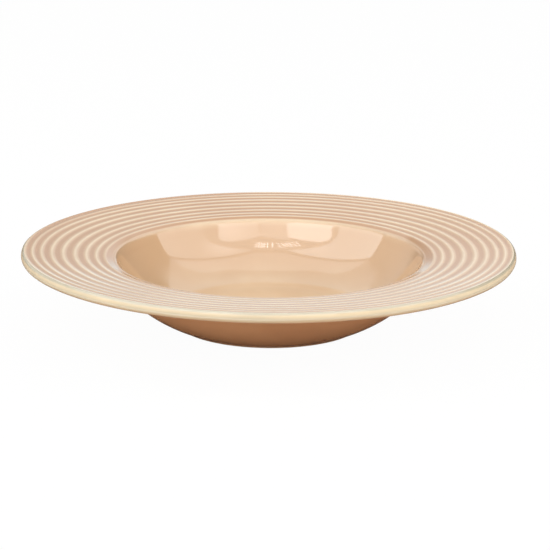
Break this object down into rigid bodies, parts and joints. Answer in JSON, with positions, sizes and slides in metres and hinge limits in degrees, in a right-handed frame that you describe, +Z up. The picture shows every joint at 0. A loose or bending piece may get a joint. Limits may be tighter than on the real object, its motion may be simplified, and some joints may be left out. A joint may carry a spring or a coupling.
{
  "type": "soup plate",
  "caption": "Round soup plate with a deep well, a wide rim of concentric raised ribs, a rounded lip and a low foot ring, glazed except on the ring's tread.",
  "frame": {"origin": "centre of the foot ring, in the plane that the ring's tread stands on", "axes": "+Z up along the plate's axis, out of the well; X and Y lie in the table's plane and any direction serves, since the plate is round"},
  "size_m": [0.24, 0.24, 0.0385],
  "materials": {
    "stoneware": "dry unglazed stoneware, slightly gritty",
    "top_glaze": "glossy peach glaze that breaks to cream on the ribs and the lip",
    "underside_glaze": "glossy russet-brown glaze"
  },
  "bodies": {
    "root": {"clay_body": "stoneware", "top_glaze": "top_glaze", "underside_glaze": "underside_glaze", "foot_recess_glaze": "underside_glaze"}
  },
  "joints": []
}
